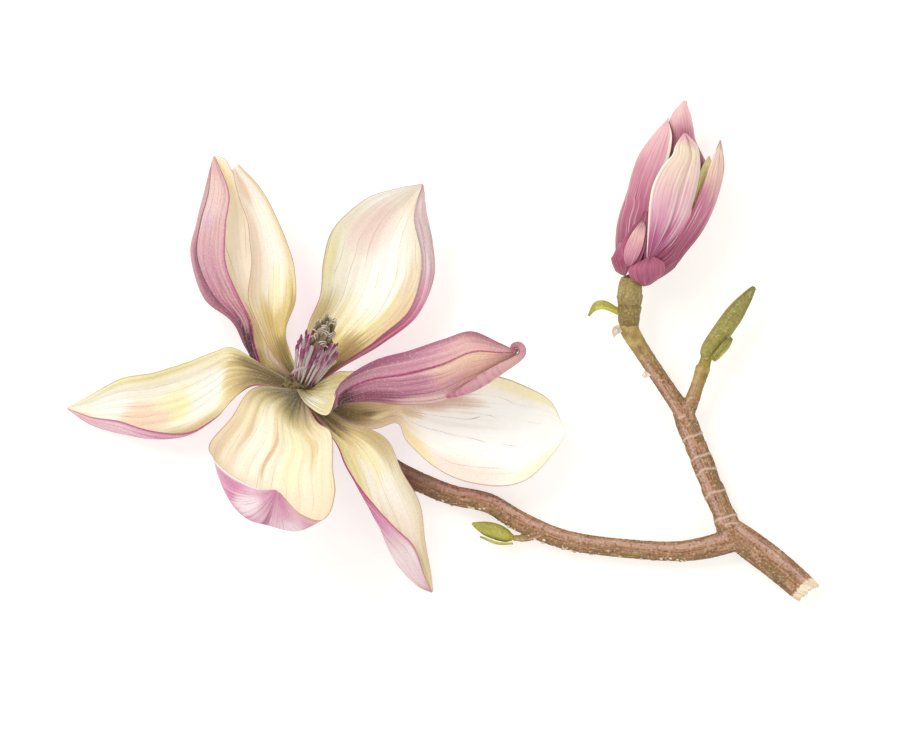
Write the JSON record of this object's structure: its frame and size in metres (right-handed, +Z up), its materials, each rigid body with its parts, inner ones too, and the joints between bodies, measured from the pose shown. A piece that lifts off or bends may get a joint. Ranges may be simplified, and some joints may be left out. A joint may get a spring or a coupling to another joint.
{
  "type": "lily magnolia branch",
  "caption": "Cut, forked twig lying on its side with an open, pink-backed cream flower, an opening flower bud and green leaf buds.",
  "frame": {"origin": "centre of the bounding box's base, on the surface that the branch lies on", "axes": "+X from the flower towards the cut end, along the longest side; +Y from the fork towards the bud's tip; +Z up, off the surface, towards the side that the flower faces"},
  "size_m": [0.2702, 0.1804, 0.069],
  "materials": {
    "bark": "matte",
    "petal": "satin",
    "petal_back": "satin",
    "bud_petal": "satin",
    "carpel": "matte",
    "stamen": "satin",
    "green": "satin",
    "dry_scale": "matte"
  },
  "bodies": {
    "root": {"branch": "bark", "tepal_left": "petal", "tepal_front": "petal", "tepal_front_right": "petal", "tepal_right": "petal", "tepal_folded": "petal_back", "tepal_upper_right": "petal", "tepal_upper_middle": "petal", "tepal_upper_left": "petal_back", "carpel_cone": "carpel", "stamens": "stamen", "bud_tepal_left": "bud_petal", "bud_tepal_front": "bud_petal", "bud_tepal_right": "bud_petal", "bud_tepal_back": "bud_petal", "bud_tepal_base": "bud_petal", "bud_scale": "bud_petal", "bud_lower_scale": "bud_petal", "bud_core": "bud_petal", "bud_stalk": "green", "leaf_bud": "green", "leaf_bud_scale": "green", "side_bud": "green", "side_bud_scale": "dry_scale", "bract": "green", "dry_scale_left": "dry_scale", "dry_scale_right": "dry_scale"}
  },
  "joints": []
}
